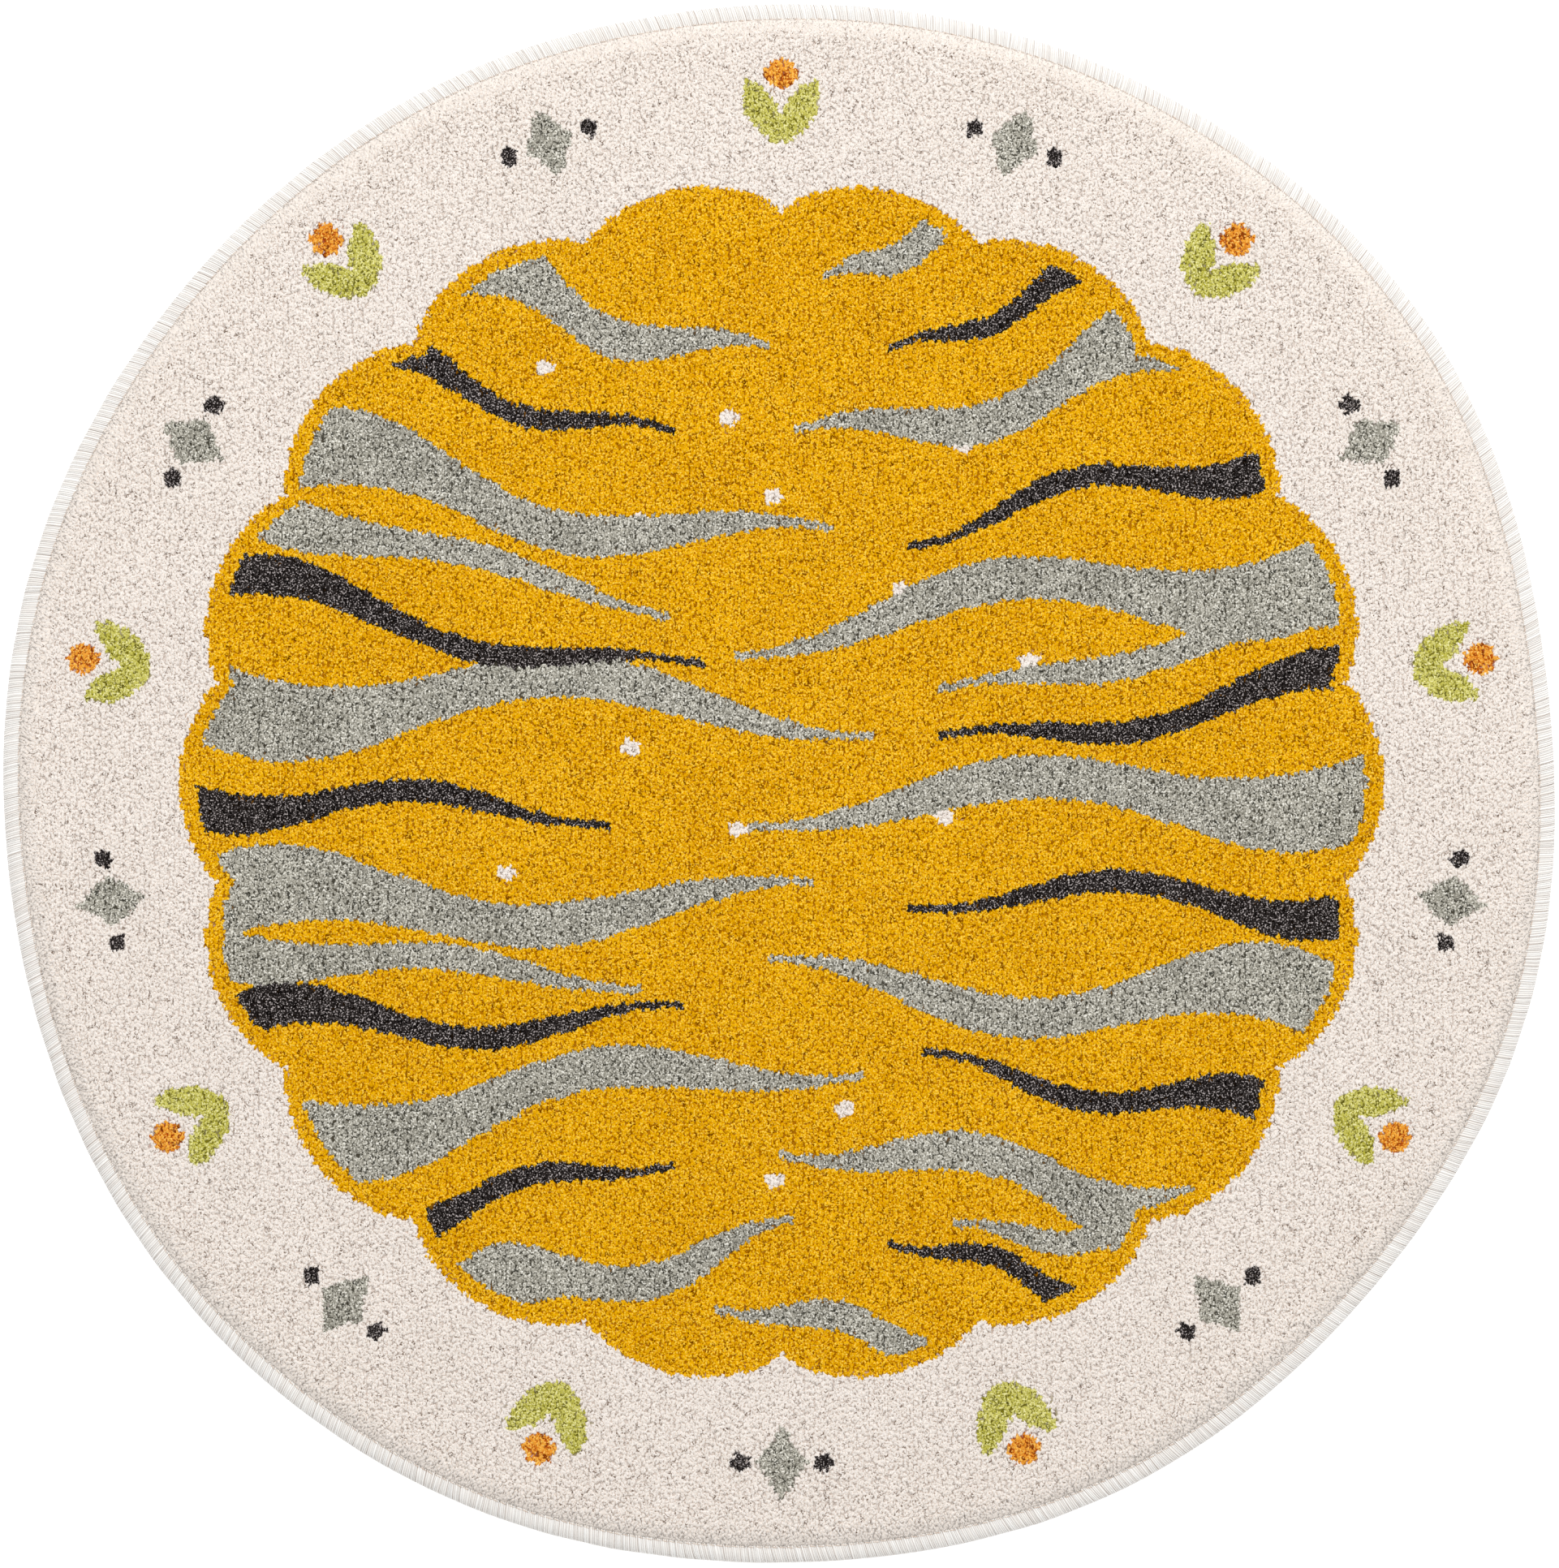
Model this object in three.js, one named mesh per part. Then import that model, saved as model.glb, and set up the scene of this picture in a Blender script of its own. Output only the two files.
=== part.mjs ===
// Round cut-pile rug with an overlocked edge, lying flat on its back. Millimetres, +Z up.
// The origin is the centre of the rug's mean circle, on its underside.
import * as THREE from 'three';

// The whole rug
const meanRadius = 500;
const pileTop = 12;
const facets = 192;
const stepsInACurve = 4;

// The overlocked edge: yarn wrapped over the rim of the cloth, a C in section that opens inwards
const edgeWidth = 12.8;
const edgeHeight = 6.6;
const edgeRoundness = 3.6;
const edgeCrownFromRim = 5.6;
const edgeInnerHeight = 5.9;
const wrapUnder = 1.2;
const wrapOutside = 3.4;

// The cloth: a thin ground with pile on it, bare at the rim, where the edging grips it
const tongueThickness = 2.2;
const pileShoulder = 2.6;
const clearance = 0.3;

// The rim swells and dips a little, as a cut cloth does. Each row is one slow wave round it: how many
// crests it has, how many millimetres it swells, and the angle of a crest in degrees from +X.
const rimWaves = [
  { crests: 2, swell: 3.3, crestAt: 55 },
  { crests: 3, swell: 0.9, crestAt: 55 },
  { crests: 4, swell: 2.2, crestAt: -42 },
  { crests: 5, swell: 0.4, crestAt: 35 },
  { crests: 6, swell: 1.2, crestAt: -15 },
  { crests: 7, swell: 0.7, crestAt: -17 },
  { crests: 8, swell: 1.0, crestAt: -16 },
];

// How far the rim stands from the mean circle at an angle, as a share of the mean radius.
function rimSwell(angle) {
  const swell = rimWaves.reduce((sum, wave) => {
    const crest = THREE.MathUtils.degToRad(wave.crestAt);
    return sum + wave.swell * Math.cos(wave.crests * (angle - crest));
  }, 0);
  return swell / meanRadius;
}

// Turns a section round +Z and lets every ring of its points follow the uneven rim. A section is a closed
// path of (distance from the centre, height), drawn with the solid on its left.
function turnedPiece(name, section, finish) {
  const geometry = new THREE.LatheGeometry(section.getPoints(stepsInACurve), facets);
  geometry.rotateX(Math.PI / 2);
  const place = geometry.getAttribute('position');
  for (let i = 0; i < place.count; i += 1) {
    const share = 1 + rimSwell(Math.atan2(place.getY(i), place.getX(i)));
    place.setXY(i, place.getX(i) * share, place.getY(i) * share);
  }
  geometry.computeVertexNormals();
  const mesh = new THREE.Mesh(geometry, new THREE.MeshStandardMaterial(finish));
  mesh.name = name;
  return mesh;
}

// The cloth and its pile, one solid: flat back, step up over the wrap, tongue, pile wall, rounded shoulder.
function carpet() {
  const pileEdge = meanRadius - edgeWidth - clearance;
  const tongueEnd = meanRadius - wrapOutside - clearance;
  const tongueBottom = wrapUnder + clearance;
  const tongueTop = tongueBottom + tongueThickness;
  const section = new THREE.Path();
  section.moveTo(0, 0);
  section.lineTo(pileEdge, 0);
  section.lineTo(pileEdge, tongueBottom);
  section.lineTo(tongueEnd, tongueBottom);
  section.lineTo(tongueEnd, tongueTop);
  section.lineTo(pileEdge, tongueTop);
  section.lineTo(pileEdge, pileTop - pileShoulder);
  section.quadraticCurveTo(pileEdge, pileTop, pileEdge - pileShoulder, pileTop);
  section.lineTo(0, pileTop);
  return turnedPiece('carpet', section, { color: 0xe0b050, roughness: 0.95, metalness: 0 });
}

// The edging: flat where it lies on the floor, round at the rim, a low crown, then a slope down to the pile.
function overlockedEdge() {
  const inside = meanRadius - edgeWidth;
  const channelEnd = meanRadius - wrapOutside;
  const channelTop = wrapUnder + tongueThickness + 2 * clearance;
  const roundFrom = meanRadius - edgeRoundness;
  const section = new THREE.Path();
  section.moveTo(inside, 0);
  section.lineTo(roundFrom, 0);
  section.absellipse(roundFrom, edgeHeight / 2, edgeRoundness, edgeHeight / 2, -Math.PI / 2, Math.PI / 2);
  section.lineTo(meanRadius - edgeCrownFromRim, edgeHeight);
  section.lineTo(inside, edgeInnerHeight);
  section.lineTo(inside, channelTop);
  section.lineTo(channelEnd, channelTop);
  section.lineTo(channelEnd, wrapUnder);
  section.lineTo(inside, wrapUnder);
  section.lineTo(inside, 0);
  return turnedPiece('overlocked_edge', section, { color: 0xf1ece6, roughness: 0.85, metalness: 0 });
}

const rug = new THREE.Group();
rug.add(carpet(), overlockedEdge());

export default rug;
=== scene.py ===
"""A round cut-pile rug with an overlocked edge, lying flat and seen from straight above.

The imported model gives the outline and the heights. The pile is laid tuft by tuft: a yarn is chosen for each
place on the weaving grid, as the loom does, and the tufts of one yarn are joined into a few large meshes.
Lengths are in metres, but for names that end in _MM, and for the design, which is drawn in millimetres.
"""

import math
from collections import namedtuple

import bmesh
import bpy
import numpy as np
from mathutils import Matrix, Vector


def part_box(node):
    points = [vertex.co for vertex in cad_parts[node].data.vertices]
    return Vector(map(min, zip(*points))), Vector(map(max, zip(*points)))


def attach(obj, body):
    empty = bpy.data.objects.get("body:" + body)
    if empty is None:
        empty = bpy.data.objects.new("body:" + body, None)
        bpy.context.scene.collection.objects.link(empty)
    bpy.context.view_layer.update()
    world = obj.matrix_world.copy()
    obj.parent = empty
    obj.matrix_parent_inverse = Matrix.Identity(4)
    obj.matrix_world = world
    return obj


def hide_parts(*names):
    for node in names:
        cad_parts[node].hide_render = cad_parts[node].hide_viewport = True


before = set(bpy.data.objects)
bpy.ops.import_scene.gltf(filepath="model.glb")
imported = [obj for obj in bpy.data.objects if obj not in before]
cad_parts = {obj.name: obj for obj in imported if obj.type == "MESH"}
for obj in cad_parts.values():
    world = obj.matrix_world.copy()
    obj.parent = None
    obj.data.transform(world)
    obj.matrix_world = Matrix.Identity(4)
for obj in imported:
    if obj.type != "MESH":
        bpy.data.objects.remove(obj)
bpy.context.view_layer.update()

MM = 0.001
MM_A_METRE = 1000

# The photograph's frame, in its own pixels
PHOTO_WIDTH = 1921
PHOTO_HEIGHT = 1932
RUG_CENTRE_X = 963.0
RUG_CENTRE_Y = 965.9
MEAN_RADIUS_PX = 964.2

# The cloth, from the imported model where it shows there. The longest tips take up the room under its top.
MEAN_RADIUS = 0.5
EDGE_WIDTH = 12.8 * MM
PILE_GAP = 0.3 * MM
TIP_ROOM = 0.4 * MM
TIP_HEIGHT = 1.5 * MM
PILE_EDGE = MEAN_RADIUS - EDGE_WIDTH - PILE_GAP
PILE_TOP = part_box("carpet")[1].z - TIP_ROOM
EDGE_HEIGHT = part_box("overlocked_edge")[1].z
GROUND_TOP = 3.7 * MM
CROWD_TOP = PILE_TOP - TIP_HEIGHT

chance = np.random.default_rng(seed=26)


# Making meshes

FACE_LIMIT = 199_000
BAKE_MAP = "OFBake"
WELD_DISTANCE = 0.001 * MM
LABEL_KINDS = {1: ("FLOAT", "value"), 3: ("FLOAT_VECTOR", "vector"), 4: ("FLOAT_COLOR", "color")}


def read_places(mesh):
    """The places of a mesh's vertices, one row each."""
    place = np.empty(len(mesh.vertices) * 3, np.float32)
    mesh.vertices.foreach_get("co", place)
    return place.reshape(-1, 3).astype(float)


def write_places(mesh, place):
    mesh.vertices.foreach_set("co", place.astype(np.float32).ravel())


def read_corners(mesh):
    """The vertex that each face corner of a mesh stands on."""
    corners = np.empty(len(mesh.loops), np.int32)
    mesh.loops.foreach_get("vertex_index", corners)
    return corners


def write_map(mesh, spots):
    """Gives a mesh its own UV map, with one spot for each face corner."""
    layer = mesh.uv_layers.new(name=BAKE_MAP)
    layer.uv.foreach_set("vector", spots.astype(np.float32).ravel())


def write_labels(mesh, labels):
    """Gives a mesh's vertices named numbers, vectors or colours, which its material reads."""
    for label, values in labels.items():
        kind, field = LABEL_KINDS[values.size // len(mesh.vertices)]
        layer = mesh.attributes.new(label, kind, "POINT")
        layer.data.foreach_set(field, values.astype(np.float32).ravel())


def mesh_from(bm, name):
    """Makes a bmesh a mesh and frees it."""
    mesh = bpy.data.meshes.new(name)
    bm.to_mesh(mesh)
    bm.free()
    return mesh


def grid_mesh(name, columns, rows):
    """A flat grid, and how far along and up it each vertex is, from 0 to 1."""
    bm = bmesh.new()
    bmesh.ops.create_grid(bm, x_segments=columns, y_segments=rows, size=0.5)
    mesh = mesh_from(bm, name)
    return mesh, read_places(mesh)[:, :2] + 0.5


def weld(mesh):
    """Closes a grid that was rolled up: joins the vertices that fell together."""
    bm = bmesh.new()
    bm.from_mesh(mesh)
    bmesh.ops.remove_doubles(bm, verts=bm.verts[:], dist=WELD_DISTANCE)
    bmesh.ops.recalc_face_normals(bm, faces=bm.faces[:])
    bm.to_mesh(mesh)
    bm.free()
    mesh.shade_smooth()


def from_lowest(corners):
    """A triangle's corners in their own order, from the lowest one on."""
    start = corners.index(min(corners))
    return corners[start:] + corners[:start]


def read_shape(bm):
    """A small bmesh's vertices and triangles as arrays. The triangles are sorted, because the operator that
    makes them may list them in another order on another run."""
    bmesh.ops.triangulate(bm, faces=bm.faces[:])
    bmesh.ops.recalc_face_normals(bm, faces=bm.faces[:])
    bm.verts.index_update()
    vertices = np.array([v.co[:] for v in bm.verts])
    triangles = np.array(sorted(from_lowest([v.index for v in f.verts]) for f in bm.faces))
    bm.free()
    return vertices, triangles


def joined_mesh(name, corners, triangles, smooth, spots, labels):
    """A mesh from many copies of one shape. corners holds every copy's vertices, triangles is one copy's,
    and smooth says which of those are shaded round."""
    copies, size = corners.shape[:2]
    index = (triangles[None] + size * np.arange(copies)[:, None, None]).reshape(-1, 3)
    mesh = bpy.data.meshes.new(name)
    mesh.vertices.add(copies * size)
    write_places(mesh, corners)
    mesh.loops.add(index.size)
    mesh.loops.foreach_set("vertex_index", index.astype(np.int32).ravel())
    mesh.polygons.add(len(index))
    mesh.polygons.foreach_set("loop_start", np.arange(0, index.size, 3, dtype=np.int32))
    mesh.polygons.foreach_set("loop_total", np.full(len(index), 3, dtype=np.int32))
    mesh.polygons.foreach_set("use_smooth", np.tile(smooth, copies))
    write_map(mesh, spots)
    write_labels(mesh, labels)
    mesh.update(calc_edges=True)
    mesh.validate()
    return mesh


def in_scene(name, data):
    made = bpy.data.objects.new(name, data)
    bpy.context.scene.collection.objects.link(made)
    return made


def placed(name, mesh, finish, slot, *nodes):
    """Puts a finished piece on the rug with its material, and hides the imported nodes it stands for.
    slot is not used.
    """
    piece = in_scene(name, mesh)
    mesh.materials.append(finish)
    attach(piece, "root")
    if nodes:
        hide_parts(*nodes)
    return piece


# Places round the rug

RIM_SECTORS = 192
RIM_WAVE_COUNT = 12


def angle_of(place):
    return np.arctan2(place[:, 1], place[:, 0])


def distance_of(place):
    return np.hypot(place[:, 0], place[:, 1])


def round_places(radius, angle, height):
    """Places at a distance from the rug's centre, an angle and a height."""
    return np.stack([radius * np.cos(angle), radius * np.sin(angle), height], -1)


def rim_waves():
    """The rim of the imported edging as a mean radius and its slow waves, as numpy's rfft gives them."""
    place = read_places(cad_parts["overlocked_edge"].data)
    sector = np.round(angle_of(place) / (2 * math.pi) * RIM_SECTORS).astype(int) % RIM_SECTORS
    rim = np.zeros(RIM_SECTORS)
    np.maximum.at(rim, sector, distance_of(place))
    return np.fft.rfft(rim)[:RIM_WAVE_COUNT] / RIM_SECTORS


RIM_WAVES = rim_waves()


def rim_share(angle):
    """The rim's radius at an angle, as a share of the mean radius."""
    radius = np.full(np.shape(angle), RIM_WAVES[0].real)
    for crests, wave in enumerate(RIM_WAVES[1:], start=1):
        radius = radius + 2 * (wave.real * np.cos(crests * angle) - wave.imag * np.sin(crests * angle))
    return radius / MEAN_RADIUS


# The design, in millimetres: a scalloped medallion with tapering stripes that come in from its rim, and a
# border of sprigs and diamonds

CREAM, MUSTARD, GREY, CHARCOAL, OLIVE, ORANGE = range(6)

MEDALLION_RADIUS = 374.0
MEDALLION_RIM = 11.0
LOBES = 18
LOBE_DEPTH = 20.0
LOBE_ROUNDNESS = 0.7

# A stripe starts on the medallion's rim at an angle in degrees and tapers to its tip. sway is how far it
# swings to either side of the straight line.
Stripe = namedtuple("Stripe", "yarn start tip_x tip_y width sway")
STRIPES = (
    Stripe(GREY, 124, -10, 268, 44, 16),
    Stripe(GREY, 149, 30, 150, 48, 20),
    Stripe(GREY, 153, -70, 108, 30, -6),
    Stripe(GREY, 171, 60, 42, 50, -22),
    Stripe(GREY, 192, 20, -74, 50, 18),
    Stripe(GREY, 195, -90, -128, 30, -8),
    Stripe(GREY, 214, 50, -176, 48, -18),
    Stripe(GREY, 238, 10, -286, 42, 14),
    Stripe(GREY, 70, 30, 318, 36, -8),
    Stripe(GREY, 45, 10, 214, 46, -18),
    Stripe(GREY, 21, -30, 92, 50, 20),
    Stripe(GREY, 17, 100, 54, 30, -8),
    Stripe(GREY, 0, -20, -18, 50, 18),
    Stripe(GREY, -22, -10, -124, 48, -20),
    Stripe(GREY, -44, 0, -228, 46, 16),
    Stripe(GREY, -47, 110, -286, 28, -8),
    Stripe(GREY, -70, -40, -330, 34, 10),
    Stripe(CHARCOAL, 136, -70, 218, 24, 12),
    Stripe(CHARCOAL, 161, -50, 66, 25, 14),
    Stripe(CHARCOAL, 181, -110, -20, 26, -12),
    Stripe(CHARCOAL, 203, -60, -150, 26, 14),
    Stripe(CHARCOAL, 226, -70, -238, 24, -10),
    Stripe(CHARCOAL, 57, 70, 272, 23, -8),
    Stripe(CHARCOAL, 33, 80, 158, 25, 14),
    Stripe(CHARCOAL, 10, 100, 22, 26, -12),
    Stripe(CHARCOAL, -11, 80, -72, 26, 14),
    Stripe(CHARCOAL, -33, 90, -178, 25, -12),
    Stripe(CHARCOAL, -57, 70, -290, 23, 8),
)

# What the stripes share. Their centre line comes from outside the medallion and swings less towards the tip,
# their sides narrow along a curve and wave, and the tip is as wide as one tuft.
STRIPE_START = 1.06 * MEDALLION_RADIUS
STRIPE_OVERRUN = 0.3
STRIPE_SWING = 2.6 * math.pi
STRIPE_CALMING = 0.4
STRIPE_TAPER = 0.7
STRIPE_WAVE = 11
STRIPE_WAVE_SHARE = 0.16
STRIPE_TIP = 2.4

# Small cream ovals woven between the stripes, at (x, y)
OVALS = (
    (-6, 182), (76, 122), (-96, 22), (104, -22), (-28, -30), (92, -130), (-118, -186), (40, -208),
    (-92, 166), (116, 216), (-150, 264), (-34, 232), (146, -238), (-4, -254), (158, 78), (-176, -58),
)
OVAL_HALF_WIDTH = 6.5
OVAL_HALF_HEIGHT = 4.8

# The border's motifs, one outside each lobe. _OUT is how far a part lies out of the place where they start.
MOTIF_START = 408.0
LEAF_LENGTH = 46
LEAF_WIDTH = 20
LEAF_ROUNDNESS = 0.7
LEAF_SPREAD_DEGREES = 31
BUD_OUT = 44
BUD_RADIUS = 10
DIAMOND_OUT = 26
DIAMOND_HALF_LENGTH = 23
DIAMOND_HALF_WIDTH = 16
SEED_ASIDE = 27
SEED_RADIUS = 5.6


def medallion_edge(angle):
    """How far the medallion's scalloped edge is from the centre."""
    lobes = np.abs(np.cos(LOBES * angle / 2)) ** LOBE_ROUNDNESS
    return MEDALLION_RADIUS + LOBE_DEPTH * (lobes - 0.5)


def in_stripe(x, y, stripe):
    """Which places lie in a stripe. held is how far towards its tip a place is, from 0 to 1."""
    start = math.radians(stripe.start)
    from_x = STRIPE_START * math.cos(start)
    from_y = STRIPE_START * math.sin(start)
    run_x = stripe.tip_x - from_x
    run_y = stripe.tip_y - from_y
    length = math.hypot(run_x, run_y)
    along = ((x - from_x) * run_x + (y - from_y) * run_y) / length**2
    aside = ((y - from_y) * run_x - (x - from_x) * run_y) / length
    held = np.clip(along, 0, 1)
    aside = aside - stripe.sway * np.sin(STRIPE_SWING * held) * (1 - STRIPE_CALMING * held)
    waving = 1 + STRIPE_WAVE_SHARE * np.sin(STRIPE_WAVE * held)
    half_width = stripe.width / 2 * (1 - held) ** STRIPE_TAPER * waving
    return (along > -STRIPE_OVERRUN) & (along < 1) & (np.abs(aside) < np.maximum(half_width, STRIPE_TIP))


def turned(x, y, degrees):
    """x and y along and across a direction."""
    turn = math.radians(degrees)
    return x * math.cos(turn) + y * math.sin(turn), y * math.cos(turn) - x * math.sin(turn)


def in_leaf(out, side):
    held = np.clip(out / LEAF_LENGTH, 0, 1)
    half_width = LEAF_WIDTH / 2 * np.sin(math.pi * held) ** LEAF_ROUNDNESS
    return (out > 0) & (out < LEAF_LENGTH) & (np.abs(side) < half_width)


def draw_sprig(yarn, out, side):
    """Two leaves that spread from one foot, with a bud between them."""
    for spread in (-LEAF_SPREAD_DEGREES, LEAF_SPREAD_DEGREES):
        yarn[in_leaf(*turned(out, side, spread))] = OLIVE
    yarn[np.hypot(out - BUD_OUT, side) < BUD_RADIUS] = ORANGE


def draw_diamond(yarn, out, side):
    """A diamond with a round seed at either side."""
    out = out - DIAMOND_OUT
    yarn[np.abs(out) / DIAMOND_HALF_LENGTH + np.abs(side) / DIAMOND_HALF_WIDTH < 1] = GREY
    for seed in (-SEED_ASIDE, SEED_ASIDE):
        yarn[np.hypot(out, side - seed) < SEED_RADIUS] = CHARCOAL


def yarn_at(place):
    """Which yarn the loom brings up at each place."""
    x, y = place[:, 0] / MM, place[:, 1] / MM
    distance = np.hypot(x, y)
    edge = medallion_edge(np.arctan2(y, x))
    yarn = np.full(np.shape(x), CREAM)
    yarn[distance < edge] = MUSTARD
    field = distance < edge - MEDALLION_RIM
    for stripe in STRIPES:
        yarn[field & in_stripe(x, y, stripe)] = stripe.yarn
    for centre_x, centre_y in OVALS:
        near = np.hypot((x - centre_x) / OVAL_HALF_WIDTH, (y - centre_y) / OVAL_HALF_HEIGHT)
        yarn[(near < 1) & (yarn == MUSTARD)] = CREAM
    for i in range(LOBES):
        out, side = turned(x, y, (i + 0.5) * 360 / LOBES)
        draw = draw_sprig if i % 2 == 0 else draw_diamond
        draw(yarn, out - MOTIF_START, side)
    return yarn


# One cut end of yarn, and how many of them are joined

END_SIDES = 3
END_FOOT = CROWD_TOP - 0.3 * MM
TRIM_SPREAD = 0.2 * MM
MOST_LEFT_LONG = 0.5 * MM
LEAST_SHOWN = 0.6
TIP_SWAY = 0.35 * MM
LEAN_SPREAD = 0.05
FACING_SPREAD = 0.5
RAGGEDNESS = (0.86, 1.14)
DRAWING_OUT = (1.0, 1.45)
THICKNESS = (0.9, 1.1)

# A copy's cell in its piece's UV map, in shares of the cell: how far the copy reaches from the middle, how
# its sides spread so that the top keeps some room, and where its foot lies in a corner
CELL_REACH = 0.46
CELL_SPREAD = 0.25
FOOT_REACH = 0.12
FOOT_CORNER = 0.38
NEARLY_NOTHING = 1e-6


def yarn_end():
    """A closed unit cone on a flat foot: a cut end of yarn where it stands out of the crowd."""
    bm = bmesh.new()
    bmesh.ops.create_cone(bm, cap_ends=True, segments=END_SIDES, radius1=1, radius2=0, depth=1)
    bmesh.ops.translate(bm, verts=bm.verts[:], vec=(0, 0, 0.5))
    return read_shape(bm)


def on_foot(vertices, triangles):
    """Which triangles of a shape lie in its flat foot."""
    height = vertices[triangles][:, :, 2]
    return height.max(1) < height.min() + NEARLY_NOTHING


def own_cells(vertices, triangles, count):
    """UV places that lay each copy of a shape out flat in a cell of its own: its top in the middle, its
    sides round it and its foot in a corner, so that no two faces share a place."""
    side = math.ceil(math.sqrt(count))
    cell = (np.stack([np.arange(count) % side, np.arange(count) // side], -1) + 0.5) / side
    low, high = vertices[:, 2].min(), vertices[:, 2].max()
    sunk = ((high - vertices[:, 2]) / (high - low))[triangles]
    at_axis = (distance_of(vertices) < NEARLY_NOTHING)[triangles]
    around = np.exp(1j * angle_of(vertices))[triangles]
    around[at_axis] = 0
    middle = around.sum(1, keepdims=True)
    around = np.where(at_axis, middle / np.abs(middle), around)
    reach = CELL_REACH * sunk**CELL_SPREAD
    flat = np.stack([around.real * reach, around.imag * reach], -1)
    foot = on_foot(vertices, triangles)
    flat[foot] = FOOT_REACH * flat[foot] + FOOT_CORNER
    return cell[:, None, None, :] + flat[None] / side


def spun(x, y, angle):
    """x and y turned about the origin."""
    return x * np.cos(angle) - y * np.sin(angle), x * np.sin(angle) + y * np.cos(angle)


def lay_tufts(name, shape, centres, lean, radius, foot, top, finish, slot, combed=0.0, facing=0.0):
    """Joins one end of yarn for each centre into a piece. Each is spun, drawn out to both sides of the way
    it faces, leaned and trimmed its own way. combed says how far the yarn shows its side, not its end."""
    vertices, triangles = shape
    count, size = len(centres), len(vertices)

    def own(low, high):
        """A number for each end, between these."""
        return chance.uniform(low, high, (count, 1))

    ragged = chance.uniform(*RAGGEDNESS, (count, size))
    inner_x, inner_y = vertices[:, 0] * ragged, vertices[:, 1] * ragged
    x, y = spun(inner_x, inner_y, own(0, 2 * math.pi))
    drawn_out = own(*DRAWING_OUT)
    thick = radius * own(*THICKNESS)
    facing = np.reshape(facing, (-1, 1)) + own(-FACING_SPREAD, FACING_SPREAD)
    x, y = spun(x * thick / drawn_out, y * thick * drawn_out, facing)

    trim = chance.normal(0, TRIM_SPREAD, (count, 1)).clip(-3 * TRIM_SPREAD, MOST_LEFT_LONG)
    height = np.broadcast_to(vertices[:, 2], (count, size))
    z = foot + height * np.maximum(top - foot + trim, LEAST_SHOWN * (top - foot))
    lean = lean + chance.normal(0, LEAN_SPREAD, (count, 2))
    x = x + centres[:, :1] + lean[:, :1] * (z - GROUND_TOP)
    y = y + centres[:, 1:] + lean[:, 1:] * (z - GROUND_TOP)
    sway = chance.normal(0, TIP_SWAY, (count, 2))
    corners = np.stack([x + sway[:, :1] * height, y + sway[:, 1:] * height, z], -1)

    labels = {
        "in_tuft": np.stack([inner_x, inner_y, height], -1),
        "shade": np.repeat(own(0, 1), size, 1),
        "tone": np.repeat(own(0, 1), size, 1),
        "combed": np.full((count, size), combed),
    }
    spots = own_cells(vertices, triangles, count)
    smooth = ~on_foot(vertices, triangles)
    mesh = joined_mesh(name, corners, triangles, smooth, spots, labels)
    return placed(name, mesh, finish, slot)


# The field of pile. The weaving grid has a tuft at each crossing, with two cut ends of yarn side by side.

COLUMN_PITCH = 3.16 * MM
ROW_PITCH = 2.53 * MM
GRID_OVERLAP = 1.03
CROSSING_STRAY = 0.2
ENDS_APART = 1.5 * MM
ENDS_APART_SHARES = (0.8, 1.2)
ENDS_ASLANT = 0.7
END_RADIUS = 3.0 * MM

# How the pile leans, in metres aside for a metre up: PILE_LEAN towards +Y, and broad and fine waves where it
# was brushed, along +Y and across it
PILE_LEAN = 0.15
BROAD_BRUSH_ALONG = 0.035
FINE_BRUSH_ALONG = 0.016
BROAD_BRUSH_ACROSS = 0.030
FINE_BRUSH_ACROSS = 0.018


def brushed(place):
    """How the pile leans at each place. The waves' lengths are in millimetres for a radian."""
    x, y = place[:, 0] * MM_A_METRE, place[:, 1] * MM_A_METRE
    broad = np.sin(x / 61 + 1.7 * np.sin(y / 83))
    fine = np.sin(y / 37 + x / 110)
    across = BROAD_BRUSH_ACROSS * broad + FINE_BRUSH_ACROSS * fine
    broad = np.sin(y / 71 + 1.3 * np.sin(x / 97 + 2.0))
    fine = np.sin((x - y) / 45)
    along = PILE_LEAN + BROAD_BRUSH_ALONG * broad + FINE_BRUSH_ALONG * fine
    return np.stack([across, along], -1)


def grid_lines(pitch):
    count = math.ceil(GRID_OVERLAP * PILE_EDGE / pitch)
    return np.arange(-count, count + 1)


def weaving_grid():
    """The crossings inside the rows along the cut, every second column half a row on. Each crossing is given
    twice, once for either end of its yarn, and with it the end's middle."""
    column, row = np.meshgrid(grid_lines(COLUMN_PITCH), grid_lines(ROW_PITCH))
    row = row + 0.5 * (column % 2)
    crossing = np.stack([column.ravel() * COLUMN_PITCH, row.ravel() * ROW_PITCH], -1)
    stray = chance.uniform(-CROSSING_STRAY, CROSSING_STRAY, crossing.shape)
    centres = crossing + stray * (COLUMN_PITCH, ROW_PITCH)
    room = rim_share(angle_of(centres)) * PILE_EDGE - distance_of(centres)
    kept = room > RIM_DEPTH
    crossing, centres = crossing[kept], centres[kept]
    half_apart = ENDS_APART / 2 * chance.uniform(*ENDS_APART_SHARES, len(centres))
    aslant = chance.uniform(-ENDS_ASLANT, ENDS_ASLANT, len(centres))
    aside = np.stack(spun(half_apart, 0, aslant), -1)
    return np.concatenate([crossing, crossing]), np.concatenate([centres - aside, centres + aside])


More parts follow.
